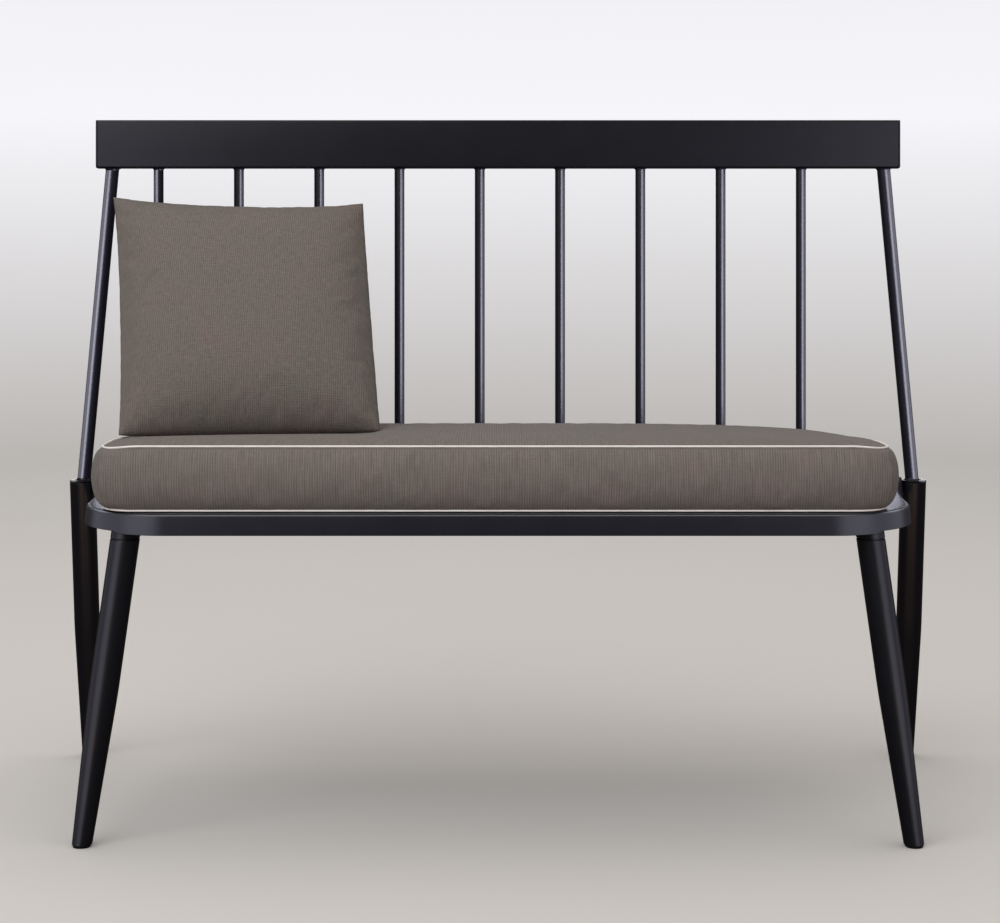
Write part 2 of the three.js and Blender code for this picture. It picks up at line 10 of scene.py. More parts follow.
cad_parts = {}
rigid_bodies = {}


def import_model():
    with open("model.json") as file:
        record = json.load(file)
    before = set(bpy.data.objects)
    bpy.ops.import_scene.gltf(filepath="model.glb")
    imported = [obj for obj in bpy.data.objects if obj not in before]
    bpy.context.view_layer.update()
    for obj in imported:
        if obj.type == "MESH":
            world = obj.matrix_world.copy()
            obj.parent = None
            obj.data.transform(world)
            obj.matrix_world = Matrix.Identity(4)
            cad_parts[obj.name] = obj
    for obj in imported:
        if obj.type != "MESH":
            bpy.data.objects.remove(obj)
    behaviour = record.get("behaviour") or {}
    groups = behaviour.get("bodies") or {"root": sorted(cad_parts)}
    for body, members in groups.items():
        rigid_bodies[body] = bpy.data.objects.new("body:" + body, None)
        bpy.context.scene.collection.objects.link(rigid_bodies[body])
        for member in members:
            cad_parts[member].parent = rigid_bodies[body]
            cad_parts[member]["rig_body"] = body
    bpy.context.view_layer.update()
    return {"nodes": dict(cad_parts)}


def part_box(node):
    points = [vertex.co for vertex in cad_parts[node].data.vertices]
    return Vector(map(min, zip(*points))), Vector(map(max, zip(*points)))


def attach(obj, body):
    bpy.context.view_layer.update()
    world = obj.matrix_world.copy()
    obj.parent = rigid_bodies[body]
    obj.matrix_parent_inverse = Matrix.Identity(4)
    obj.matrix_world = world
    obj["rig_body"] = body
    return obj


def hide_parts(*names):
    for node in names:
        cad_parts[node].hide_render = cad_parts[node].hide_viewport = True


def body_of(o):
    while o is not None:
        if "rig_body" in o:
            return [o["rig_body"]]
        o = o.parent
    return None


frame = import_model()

# Entryway bench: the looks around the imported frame. Metres, +Z up, the bench faces -Y.

SIDES = {"left": -1, "right": 1}
UP = Vector((0, 0, 1))
ACROSS = Vector((1, 0, 0))
BACKWARD = Vector((0, 1, 0))
GAP = 0.0003

# Sizes that the CAD solids share
LEG_TAPER = 0.206  # height above the floor where a leg starts to taper
PAN_SHEET = 0.002
PAN_RIM = 0.005
PAN_FLARE = 0.003
PAN_HALF_FRONT = 0.567
PAN_HALF_REAR = 0.6094
PAN_CORNER = 0.122
PAN_REAR_CORNER = 0.015
PAN_SIDE_END = 0.188
PAN_BOW = (0.572, 0.06)
TUBE_WALL = 0.0015
RAIL_EDGE = 0.0025
BAR_EDGE = 0.002

# ---- places read from the frame


def node_points(node):
    """The vertices of a CAD node, each place once."""
    points = np.array([v.co for v in frame["nodes"][node].data.vertices], float)
    return np.unique(points.round(6), axis=0)


def span(node, direction):
    """How far a CAD node reaches along a direction: lowest and highest."""
    along = node_points(node) @ np.array(direction)
    return along.min(), along.max()


def end_centres(node, direction=UP, depth=0.006):
    """The middles of a tube's two end rings, and the outer radius at each, seen along a direction."""
    points = node_points(node)
    along = points @ np.array(direction)
    rings = [points[along < along.min() + depth], points[along > along.max() - depth]]
    centres = [Vector(ring.mean(0)) for ring in rings]
    axis = np.array((centres[1] - centres[0]).normalized())
    result = []
    for centre, ring in zip(centres, rings):
        across = ring - np.array(centre)
        across -= np.outer(across @ axis, axis)
        result.append((centre, float(np.linalg.norm(across, axis=1).max())))
    return result


def centre_of(node, axis, square):
    """The middle of a turned node, found square to its axis, at the low end of its axis."""
    third = axis.cross(square).normalized()
    place = axis * span(node, axis)[0]
    for direction in (square, third):
        place += direction * (sum(span(node, direction)) / 2)
    return place


# ---- meshes


def smoothstep(t):
    t = min(1.0, max(0.0, t))
    return t * t * (3 - 2 * t)


def rounded(points, radius, steps=4):
    """An open outline of (a, b) or (a, b, own radius) with its inner corners rounded."""
    result = [Vector(points[0][:2])]
    for before, corner, after in zip(points, points[1:], points[2:]):
        turn = corner[2] if len(corner) > 2 else radius
        place = Vector(corner[:2])
        back, ahead = Vector(before[:2]) - place, Vector(after[:2]) - place
        cut = turn / math.tan(back.angle(ahead) / 2)
        start = place + back.normalized() * min(cut, back.length * 0.49)
        end = place + ahead.normalized() * min(cut, ahead.length * 0.49)
        for step in range(steps + 1):
            t = step / steps
            result.append(start * (1 - t) ** 2 + place * (2 * t * (1 - t)) + end * t * t)
    result.append(Vector(points[-1][:2]))
    return result


def rounded_rectangle(width, height, radius, steps=6):
    """A closed outline about the origin, starting at its right side."""
    outline = []
    centres = [(1, 1), (-1, 1), (-1, -1), (1, -1)]
    for quarter, (sx, sy) in enumerate(centres):
        for step in range(steps + 1):
            angle = (quarter + step / steps) * math.pi / 2
            x = sx * (width / 2 - radius) + radius * math.cos(angle)
            y = sy * (height / 2 - radius) + radius * math.sin(angle)
            outline.append(Vector((x, y)))
    return outline


def skin(loops, closed=False, caps=True):
    """Vertices and faces through loops of equal length; closed joins the last loop to the first."""
    count = len(loops[0])
    verts = [p for loop in loops for p in loop]
    faces = []
    rows = len(loops) if closed else len(loops) - 1
    for row in range(rows):
        a, b = row * count, (row + 1) % len(loops) * count
        for i in range(count):
            j = (i + 1) % count
            faces.append((a + i, a + j, b + j, b + i))
    if caps and not closed:
        faces.append(tuple(reversed(range(count))))
        faces.append(tuple(range(len(verts) - count, len(verts))))
    return verts, faces


def merged(shells):
    """Several (verts, faces) shells as one."""
    verts, faces = [], []
    for more_verts, more_faces in shells:
        start = len(verts)
        verts.extend(more_verts)
        faces.extend(tuple(start + i for i in face) for face in more_faces)
    return verts, faces


def mesh_object(name, shell, finish, crease):
    """An object from a shell, smooth but for edges sharper than crease degrees."""
    mesh = bpy.data.meshes.new(name)
    mesh.from_pydata([tuple(v) for v in shell[0]], [], shell[1])
    form = bmesh.new()
    form.from_mesh(mesh)
    bmesh.ops.recalc_face_normals(form, faces=form.faces)
    for face in form.faces:
        face.smooth = True
    form.to_mesh(mesh)
    form.free()
    if crease:
        mesh.set_sharp_from_angle(angle=math.radians(crease))
    mesh.materials.append(finish)
    obj = bpy.data.objects.new(name, mesh)
    bpy.context.scene.collection.objects.link(obj)
    return obj


made = {}


def piece(name, shell, finish, body, replaces=(), crease=32):
    """One piece of the bench as an object that rides on a body. With a CAD node's name it stands for
    that node, which keeps the name itself: the piece has _surface after it."""
    is_node = name in frame["nodes"]
    if is_node:
        replaces = [name]
    obj = mesh_object(name + "_surface" if is_node else name, shell, finish, crease)
    made[name] = obj
    if replaces:
        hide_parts(*replaces)
    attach(obj, body)
    return obj


def square_pair(axis):
    """Two directions square to an axis and to each other."""
    first = (ACROSS - axis * ACROSS.dot(axis)).normalized()
    return first, axis.cross(first)


def spokes(first, second, segments):
    """Angles all round and the directions at them, in the plane of two directions square to each other."""
    for i in range(segments):
        angle = 2 * math.pi * i / segments
        yield angle, first * math.cos(angle) + second * math.sin(angle)


def turned(low, high, profile, segments=64, level=False):
    """Loops about the axis from low to high, one for each (distance from low, radius).
    A level loop is cut parallel to the floor where the axis passes its place."""
    axis = (high - low).normalized()
    first, second = square_pair(axis)
    loops = []
    for distance, radius in profile:
        centre = low + axis * distance
        loop = []
        for _, spoke in spokes(first, second, segments):
            offset = spoke * radius
            if level:
                offset -= axis * (offset.z / axis.z)
            loop.append(centre + offset)
        loops.append(loop)
    return loops


def solid_rod(low, high, radius, edge, level=False):
    """A closed round rod with rounded ends."""
    length = (high - low).length
    tiny = edge * 0.2
    outline = [(0, tiny), (0, radius), (length, radius), (length, tiny)]
    return skin(turned(low, high, rounded(outline, edge), level=level))


def extruded(outline, start, end, u, v, edge):
    """A closed bar with an outline in directions u and v, its ends' edges rounded."""
    axis = (end - start).normalized()
    length = (end - start).length
    size = max(max(abs(p.x), abs(p.y)) for p in outline)
    loops = []
    for distance, inset in rounded([(0, edge * 2), (0, 0), (length, 0), (length, edge * 2)], edge, 3):
        shrink = 1 - inset / size
        centre = start + axis * distance
        loops.append([centre + u * (p.x * shrink) + v * (p.y * shrink) for p in outline])
    return skin(loops)


# ---- materials


class Nodes:
    """A short way to write the node tree of a material or of the world."""

    def __init__(self, name, kind=bpy.data.materials):
        self.owner = kind.new(name)
        self.owner.use_nodes = True
        self.tree = self.owner.node_tree
        self.tree.nodes.clear()
        self.coords = self.tree.nodes.new("ShaderNodeTexCoord")

    def add(self, kind, inputs=None, **settings):
        node = self.tree.nodes.new(kind)
        for key, value in settings.items():
            setattr(node, key, value)
        for key, value in (inputs or {}).items():
            if isinstance(value, bpy.types.NodeSocket):
                self.tree.links.new(value, node.inputs[key])
            else:
                node.inputs[key].default_value = value
        return node

    def math(self, operation, a, b=0.0, c=0.0):
        return self.add("ShaderNodeMath", {0: a, 1: b, 2: c}, operation=operation).outputs[0]

    def split(self, coordinates):
        """The X, Y and Z of one kind of texture coordinates."""
        return self.add("ShaderNodeSeparateXYZ", {0: self.coords.outputs[coordinates]}).outputs

    def wave(self, value, pitch):
        return self.math("SINE", self.math("MULTIPLY", value, 2 * math.pi / pitch))

    def noise(self, scale, detail=2.0, stretch=(1, 1, 1), vector=None):
        source = vector or self.coords.outputs["Object"]
        mapped = self.add("ShaderNodeMapping", {"Vector": source, "Scale": stretch})
        inputs = {"Vector": mapped.outputs[0], "Scale": scale, "Detail": detail}
        return self.add("ShaderNodeTexNoise", inputs).outputs["Fac"]

    def between(self, value, low=0.0, high=1.0, start=0.0, end=1.0):
        """A value that runs from start to end, spread from low to high."""
        ramp = {"Value": value, "From Min": start, "From Max": end, "To Min": low, "To Max": high}
        return self.add("ShaderNodeMapRange", ramp).outputs["Result"]

    def spread(self, noise, low=0.0, high=1.0):
        """The middle of a noise, where nearly all its values lie, spread from low to high."""
        return self.between(noise, low, high, 0.32, 0.68)

    def mix(self, factor, a, b, blend="MIX"):
        node = self.add("ShaderNodeMix", {0: factor, 6: a, 7: b}, data_type="RGBA", blend_type=blend)
        return node.outputs[2]

    def bump(self, height, strength, distance, normal=None):
        inputs = {"Height": height, "Strength": strength, "Distance": distance}
        if normal:
            inputs["Normal"] = normal
        return self.add("ShaderNodeBump", inputs).outputs["Normal"]

    def finish(self, color, roughness, normal=None, **uniform):
        """The shader. uniform holds plain values for sockets, with _ for a space."""
        inputs = {"Base Color": color, "Roughness": roughness}
        if normal:
            inputs["Normal"] = normal
        for key, value in uniform.items():
            inputs[key.replace("_", " ")] = value
        shader = self.add("ShaderNodeBsdfPrincipled", inputs)
        self.add("ShaderNodeOutputMaterial", {"Surface": shader.outputs[0]})
        return self.owner


def rgb(red, green, blue):
    return (red, green, blue, 1.0)


def powder_coat():
    """Satin black powder coat: orange peel, slow changes in gloss, and edges rubbed a little paler."""
    n = Nodes("powder_coat")
    cloud = n.noise(7, 3)
    color = n.mix(cloud, rgb(0.0051, 0.0048, 0.0086), rgb(0.0079, 0.0073, 0.0118))
    edge = n.add("ShaderNodeNewGeometry").outputs["Pointiness"]
    worn = n.between(edge, start=0.53, end=0.62)
    rubbed = n.math("MULTIPLY", worn, n.between(n.noise(60, 3), 0.0, 0.6))
    color = n.mix(rubbed, color, rgb(0.045, 0.045, 0.05))
    roughness = n.between(n.noise(22, 4), 0.27, 0.36)
    peel = n.bump(n.noise(650, 1), 0.22, 0.0002)
    normal = n.bump(n.noise(60, 2), 0.08, 0.0006, peel)
    return n.finish(color, roughness, normal, Specular_IOR_Level=0.5)


def black_oxide():
    """Bolts: dark oxide over steel, a little brown, with a turned face."""
    n = Nodes("black_oxide")
    color = n.mix(n.noise(180, 3), rgb(0.018, 0.017, 0.016), rgb(0.035, 0.032, 0.03))
    roughness = n.between(n.noise(400, 2), 0.28, 0.42)
    return n.finish(color, roughness, n.bump(n.noise(1500, 1), 0.2, 0.0001), Metallic=0.75)


def moulded_plastic():
    """Glides: fine-grained black nylon, scuffed grey."""
    n = Nodes("moulded_plastic")
    scuff = n.between(n.noise(240, 4), start=0.55, end=0.8)
    color = n.mix(scuff, rgb(0.008, 0.008, 0.009), rgb(0.03, 0.03, 0.03))
    roughness = n.between(n.noise(300, 3), 0.45, 0.62)
    return n.finish(color, roughness, n.bump(n.noise(1800, 1), 0.3, 0.00015))


def thread_pattern(n, rib, cross, cross_weight, streak_run):
    """A ribbed weave in the piece's own axes: ribs run up the front and back, front to back over the
    top and bottom, and up the ends. Returns the height of the weave, which comes and goes in patches,
    and the streaks and slubs of uneven yarn."""
    place, facing = n.split("Object"), n.split("Normal")
    end, top = (n.between(n.math("ABSOLUTE", facing[axis]), start=0.66, end=0.76) for axis in "XZ")
    over = n.add("ShaderNodeMix", {0: end, 2: place["X"], 3: place["Y"]}).outputs[0]
    along = n.add("ShaderNodeMix", {0: top, 2: place["Z"], 3: place["Y"]}).outputs[0]
    flat = n.add("ShaderNodeCombineXYZ", {0: over, 1: along}).outputs[0]
    sway = n.math("MULTIPLY", n.noise(1, 2, (30, 12, 1), flat), 0.002)
    warp = n.wave(n.math("ADD", over, sway), rib)
    weft = n.wave(n.math("ADD", along, sway), cross)
    warp = n.math("MULTIPLY", warp, n.spread(n.noise(1, 3, (170, 30, 1), flat), 0.2, 1.0))
    weft = n.math("MULTIPLY", weft, n.spread(n.noise(1, 3, (40, 150, 1), flat), 0.0, cross_weight))
    height = n.math("ADD", warp, weft)
    streaks = n.noise(1, 3, (460, streak_run, 1), flat)
    slubs = n.noise(1, 2, (90, 420, 1), flat)
    return height, streaks, slubs


def taupe_weave(name, rib, cross, cross_weight, streak_run):
    """Taupe upholstery fabric with a fine rib, uneven yarn, faint mottling and a soft nap. The rib's
    ridges are painted lighter and the grooves between them darker, as painted shade of the weave.
    """
    n = Nodes(name)
    height, streaks, slubs = thread_pattern(n, rib, cross, cross_weight, streak_run)
    warp_yarn = n.mix(n.spread(streaks), rgb(0.134, 0.113, 0.102), rgb(0.186, 0.159, 0.146))
    weft_yarn = n.mix(n.spread(slubs), rgb(0.124, 0.104, 0.092), rgb(0.194, 0.165, 0.150))
    base = n.mix(0.25 + 0.35 * cross_weight, warp_yarn, weft_yarn)
    # painted shade: the colour is lighter on the weave's ridges and darker in its grooves, following the
    # bump height
    rib_shading = n.math("MULTIPLY_ADD", height, 0.5, 0.5)
    base = n.mix(1.0, base, n.between(rib_shading, 0.70, 1.24), "MULTIPLY")
    cloud = n.mix(n.spread(n.noise(14, 3)), rgb(0.95, 1.0, 0.95), rgb(1.05, 0.99, 0.98))
    base = n.mix(1.0, base, cloud, "MULTIPLY")
    weave = n.bump(height, 0.35, 0.0006)
    fuzz = n.noise(1, 2, (700, 500, 500))
    normal = n.bump(fuzz, 0.25, 0.0006, weave)
    return n.finish(
        base, n.between(slubs, 0.82, 0.95), normal,
        Sheen_Weight=0.08, Sheen_Roughness=0.5, Specular_IOR_Level=0.2,
    )


def piping_twill():
    """Cream cotton piping: a fine diagonal twill round the cord, a little soiled."""
    n = Nodes("piping_twill")
    place = n.split("Object")
    twill = n.wave(n.math("ADD", n.math("ADD", place["X"], place["Y"]), place["Z"]), 0.0011)
    base = n.mix(n.noise(35, 3), rgb(0.74, 0.68, 0.62), rgb(0.92, 0.87, 0.81))
    base = n.mix(n.between(twill, 0.0, 0.10), base, rgb(0.6, 0.55, 0.5))
    normal = n.bump(twill, 0.3, 0.0002)
    return n.finish(base, n.between(n.noise(500, 2), 0.75, 0.9), normal, Sheen_Weight=0.15)


def zip_fabric():
    """Zip tape: dense taupe twill."""
    n = Nodes("zip_fabric")
    place = n.split("Object")
    twill = n.wave(n.math("ADD", place["X"], place["Z"]), 0.0009)
    base = n.mix(n.between(twill, 0.0, 0.5), rgb(0.085, 0.07, 0.06), rgb(0.12, 0.1, 0.088))
    return n.finish(base, n.between(n.noise(300, 2), 0.7, 0.85), n.bump(twill, 0.3, 0.0002))


def zip_coil():
    """Zip teeth: brown nylon."""
    n = Nodes("zip_coil")
    base = n.mix(n.noise(300, 2), rgb(0.07, 0.06, 0.052), rgb(0.1, 0.085, 0.075))
    return n.finish(base, n.between(n.noise(500, 2), 0.3, 0.45), n.bump(n.noise(900, 2), 0.2, 0.0001))


def zip_metal():
    """Zip slider and pull: dark bronzed metal with rubbed edges."""
    n = Nodes("zip_metal")
    base = n.mix(n.spread(n.noise(300, 3)), rgb(0.16, 0.13, 0.10), rgb(0.26, 0.22, 0.17))
    roughness = n.between(n.noise(500, 2), 0.25, 0.4)
    return n.finish(base, roughness, n.bump(n.noise(900, 2), 0.1, 0.0001), Metallic=0.9)


POWDER = powder_coat()
OXIDE = black_oxide()
PLASTIC = moulded_plastic()
CUSHION_CLOTH = taupe_weave("cushion_weave", 0.0034, 0.0030, 0.12, 24)
PILLOW_CLOTH = taupe_weave("pillow_weave", 0.0030, 0.0032, 0.45, 110)
TWILL = piping_twill()
ZIP_TAPE = zip_fabric()
ZIP_COIL = zip_coil()
ZIP_METAL = zip_metal()

# ---- legs and feet

LEG_EDGE = 0.0012
LEG_BEND = 0.9  # radius of the soft bend where the taper starts
STUB_SEAM = 0.0012  # between a front leg and the collar above it
TENON_LENGTH = 0.03
TENON_CLEARANCE = 0.0022


def steel(name, shell, crease=32):
    """A powder-coated piece of the frame."""
    piece(name, shell, POWDER, "frame", crease=crease)


def leg(node, low_end, high_end):
    """A round leg that tapers over its lower part, cut level at both ends."""
    (low, low_radius), (high, high_radius) = low_end, high_end
    taper = LEG_TAPER - low.z
    length = (high - low).length
    stations = [(0, 0.0003), (0, low_radius), (taper, high_radius, LEG_BEND)]
    stations += [(length, high_radius), (length, 0.0003)]
    steel(node, skin(turned(low, high, rounded(stations, LEG_EDGE, 6), level=True)))


def foot_glide(node, low, axis, radius):
    """A moulded foot: a flat sole with a round edge, a little smaller than the tube above it."""
    floor = low + axis * (-low.z / axis.z)
    top = low + axis * (0.004 / axis.z)
    length = (top - floor).length
    sole = radius - 0.0012
    stations = [(0, 0.0004), (0, sole - 0.0006, 0.0014), (length * 0.45, sole, 0.0005)]
    stations += [(length * 0.62, sole, 0.0004), (length * 0.68, sole - 0.0007, 0.0003)]
    stations += [(length, sole - 0.0007, 0.0003), (length, 0.0004)]
    loops = turned(floor, top, rounded(stations, 0.0006), level=True)
    piece(node, skin(loops), PLASTIC, "frame")


def bolt(node, axis, head_radius, head_height, drive):
    """A button-head bolt with a hexagon socket; the head stands on the low side of its seat."""
    first, second = square_pair(axis) if abs(axis.x) < 0.9 else (BACKWARD, UP)
    low = centre_of(node, axis, first)
    shank = head_radius * 0.45
    outline = [(head_height * 1.7, shank), (head_height, shank), (head_height, head_radius, 0.0006)]
    outline += [(head_height * 0.55, head_radius, head_radius * 0.5), (0, head_radius * 0.62, 0.0006)]
    outline += [(0, drive * 1.25)]
    socket = [(0, drive * 1.06), (0.0003, drive), (head_height * 0.6, drive)]

    def hexagon(angle):
        sixth = (angle + math.pi / 6) % (math.pi / 3) - math.pi / 6
        return 1 / math.cos(sixth)

    def ring(distance, radius, form=lambda angle: 1):
        centre = low + axis * distance
        return [centre + spoke * (radius * form(angle)) for angle, spoke in spokes(first, second, 48)]

    loops = [ring(*station) for station in rounded(outline, 0.0004)]
    loops += [ring(*station, hexagon) for station in socket]
    piece(node, skin(loops), OXIDE, "frame")


def weld_bead(centre, axis, radius, size, seed, level=None, segments=40):
    """A small fillet round a tube where it meets a face below it, with the ripple of a weld.
    level is the face's normal where the tube doesn't stand square to it."""
    first, second = square_pair(axis)
    face = level or axis
    stations, ripples = 6, 14
    loops = []
    for step in range(stations + 1):
        turn = step / stations * math.pi / 2
        reach = radius + size * (1 - math.sin(turn))
        height = size * (1 - math.cos(turn))
        loop = []
        for angle, spoke in spokes(first, second, segments):
            ripple = noise.noise(Vector((3.1 * math.cos(angle), 3.1 * math.sin(angle), seed * 7.3)))
            ripple += 0.5 * math.sin(angle * ripples + seed) * math.sin(turn)
            offset = spoke * (reach + (reach - radius) * 0.25 * ripple)
            offset -= axis * (offset.dot(face) / axis.dot(face))
            loop.append(centre + offset + axis * (height * (1 + 0.2 * ripple)))
        loops.append(loop)
    return skin(loops, caps=False)


leg_axes = {}
for side in SIDES:
    for end in ("front", "rear"):
        node = f"{end}_leg_{side}"
        low_end, high_end = end_centres(node, depth=0.002)
        axis = (high_end[0] - low_end[0]).normalized()
        leg_axes[node] = axis
        leg(node, low_end, high_end)
        foot_glide(f"foot_glide_{end}_{side}", low_end[0], axis, low_end[1])

        if end == "front":
            stub = f"front_leg_stub_{side}"
            leg_top, radius = high_end
            start = leg_top + axis * (STUB_SEAM / axis.z)
            stop = leg_top + axis * ((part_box(stub)[1].z - leg_top.z) / axis.z)
            collar = solid_rod(start, stop, radius, LEG_EDGE, level=True)
            tenon_low = leg_top - axis * TENON_LENGTH
            tenon = solid_rod(tenon_low, stop, radius - TENON_CLEARANCE, 0.001, level=True)
            steel(stub, merged([collar, tenon]))

M8_BUTTON = (0.007, 0.004, 0.0025)  # head radius, head height, half width of the socket
M6_BUTTON = (0.005, 0.0025, 0.0016)


def into_leg(node):
    """The direction from behind, square to a leg."""
    axis = leg_axes[node]
    return -(BACKWARD - axis * BACKWARD.dot(axis)).normalized()


for side, sign in SIDES.items():
    bolt(f"front_leg_bolt_{side}", into_leg(f"front_leg_{side}"), *M8_BUTTON)
    bolt(f"back_post_screw_{side}", into_leg(f"rear_leg_{side}"), *M6_BUTTON)
    bolt(f"rear_leg_bolt_{side}", ACROSS * sign, *M8_BUTTON)

# ---- back frame

spindle_nodes = sorted(n for n in frame["nodes"] if n.startswith("spindle_"))
post_nodes = {side: f"back_post_{side}" for side in SIDES}
middle_spindle = end_centres(spindle_nodes[len(spindle_nodes) // 2])
BACK_UP = (middle_spindle[1][0] - middle_spindle[0][0]).normalized()
BACK_OUT = ACROSS.cross(BACK_UP)  # square to the back's plane, towards the rear
pan_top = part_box("seat_pan")[1].z


def upright(node):
    """A straight round tube of the back. Returns its low and high end and its radius."""
    (low, radius), (high, _) = end_centres(node)
    steel(node, solid_rod(low, high, radius, 0.0004))
    return low, high, radius


rail_beads, pan_beads, cap_beads = [], [], []
for number, node in enumerate(spindle_nodes):
    low, high, radius = upright(node)
    rail_beads.append(weld_bead(high, -BACK_UP, radius, 0.0030, number))
    on_pan = low + BACK_UP * ((pan_top - low.z) / BACK_UP.z)
    pan_beads.append(weld_bead(on_pan, BACK_UP, radius, 0.0032, number + 20, UP))

for side, node in post_nodes.items():
    low, high, radius = upright(node)
    axis = (high - low).normalized()
    rail_beads.append(weld_bead(high, -axis, radius, 0.0036, 40 + SIDES[side], -BACK_UP))
    cap = f"rear_leg_cap_{side}"
    cap_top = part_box(cap)[1].z
    leg_axis = leg_axes[f"rear_leg_{side}"]
    leg_top, leg_radius = end_centres(f"rear_leg_{side}", depth=0.002)[1]
    bottom = leg_top + leg_axis * (GAP / leg_axis.z)
    top = leg_top + leg_axis * ((cap_top - leg_top.z) / leg_axis.z)
    steel(cap, solid_rod(bottom, top, leg_radius, 0.0009, level=True))
    on_cap = low + axis * ((cap_top - low.z) / axis.z)
    cap_beads.append(weld_bead(on_cap, axis, radius, 0.0034, 50 + SIDES[side], UP))

for place, beads in (("rail", rail_beads), ("pan", pan_beads), ("caps", cap_beads)):
    steel(f"weld_beads_{place}", merged(beads), crease=0)


def rail_part(node, start_x, end_x, edge):
    """A part of the rail: its rounded section, in the back's own directions, from one x to another."""
    up, out = span("top_rail", BACK_UP), span("top_rail", BACK_OUT)
    section = rounded_rectangle(out[1] - out[0], up[1] - up[0], RAIL_EDGE, 8)
    middle = BACK_UP * (sum(up) / 2) + BACK_OUT * (sum(out) / 2)
    ends = [middle + ACROSS * x for x in (start_x, end_x)]
    steel(node, extruded(section, *ends, BACK_OUT, BACK_UP, edge))


rail_part("top_rail", *span("top_rail", ACROSS), 0.0003)
for side, sign in SIDES.items():
    node = f"rail_end_cap_{side}"
    outer = max(sign * x for x in span(node, ACROSS))
    inner = max(sign * x for x in span("top_rail", ACROSS)) + GAP
    rail_part(node, sign * inner, sign * outer, 0.0007)

# ---- seat pan and bars

APRON_STEP = 0.0035  # how much less deep the apron is beyond the front legs
STEP_X, STEP_RUN = 0.505, 0.010  # where the step starts and how long it is
STEP_END_Y, STEP_FADE = 0.13, 0.06  # where the apron is as deep again, and over what length


def pan_outline():
    """Points and outward normals round the pan, from the middle of its front edge to the right."""
    low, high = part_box("seat_pan")
    front, rear = low.y + PAN_FLARE, high.y - PAN_FLARE
    side_start = front + PAN_CORNER
    half = [(i / 60 * (PAN_HALF_FRONT - PAN_CORNER), front) for i in range(60)]
    for i in range(32):
        angle = math.pi / 2 * i / 32
        x = PAN_HALF_FRONT - PAN_CORNER + PAN_CORNER * math.sin(angle)
        half.append((x, side_start - PAN_CORNER * math.cos(angle)))
    for i in range(40):
        t = i / 40
        weights = ((1 - t) ** 2, 2 * t * (1 - t), t * t)
        x = sum(w * p for w, p in zip(weights, (PAN_HALF_FRONT, PAN_BOW[0], PAN_HALF_REAR)))
        y = sum(w * p for w, p in zip(weights, (side_start, PAN_BOW[1], PAN_SIDE_END)))
        half.append((x, y))
    half.append((PAN_HALF_REAR, PAN_SIDE_END))
    for i in range(13):
        angle = math.pi / 2 * i / 12
        x = PAN_HALF_REAR - PAN_REAR_CORNER * (1 - math.cos(angle))
        half.append((x, rear - PAN_REAR_CORNER * (1 - math.sin(angle))))
    half += [((PAN_HALF_REAR - PAN_REAR_CORNER) * (1 - i / 60), rear) for i in range(1, 61)]
    mirror = [(-x, y) for x, y in reversed(half[1:-1])]
    points = np.array(half + mirror)
    tangent = np.roll(points, -1, axis=0) - np.roll(points, 1, axis=0)
    tangent /= np.linalg.norm(tangent, axis=1)[:, None]
    normals = np.stack([tangent[:, 1], -tangent[:, 0]], axis=1)
    return points, normals


def apron_step(x, y):
    """0 along the front and at the rear, 1 round the front corners and along the sides."""
    beyond_leg = smoothstep((abs(x) - STEP_X) / STEP_RUN)
    return beyond_leg * smoothstep((STEP_END_Y - y) / STEP_FADE)


def seat_pan():
    """The pressed seat: a flat top, a rounded rim and an apron, with the sheet's underside within."""
    low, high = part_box("seat_pan")
    points, normals = pan_outline()
    top, bottom = high.z, low.z
    far_in = 0.03
    profile = rounded([
        (far_in, top),
        (0, top, PAN_RIM * 1.15),
        (-PAN_FLARE, bottom, PAN_SHEET * 0.45),
        (-PAN_FLARE + PAN_SHEET, bottom, PAN_SHEET * 0.45),
        (PAN_SHEET, top - PAN_SHEET, PAN_RIM - PAN_SHEET),
        (far_in, top - PAN_SHEET),
    ], PAN_RIM, 8)
    loops = []
    for inset, z in profile:
        reach = min(inset, PAN_REAR_CORNER * 0.8)
        ring = points - normals * reach
        lift = APRON_STEP * (top - z) / (top - bottom)
        loops.append([Vector((x, y, z + lift * apron_step(*p))) for (x, y), p in zip(ring, points)])
    steel("seat_pan", skin(loops))


seat_pan()


def hollow_bar(node, direction):
    """A square tube with open ends, seen under the pan."""
    (low, _), (high, _) = end_centres(node, direction)
    axis = (high - low).normalized()
    side = axis.cross(UP).normalized()
    bottom, top = span(node, UP)
    size = top - bottom
    outer = rounded_rectangle(size, size, BAR_EDGE)
    inner = rounded_rectangle(size - 2 * TUBE_WALL, size - 2 * TUBE_WALL, BAR_EDGE / 3)
    loops = []
    for outline, end in ((outer, low), (outer, high), (inner, high), (inner, low)):
        loops.append([end + side * p.x + UP * p.y for p in outline])
    steel(node, skin(loops, closed=True))


for place in ("front", "middle", "rear"):
    hollow_bar(f"seat_cross_bar_{place}", ACROSS)
for side in SIDES:
    hollow_bar(f"seat_side_bar_{side}", BACKWARD)

# ---- sewn shells


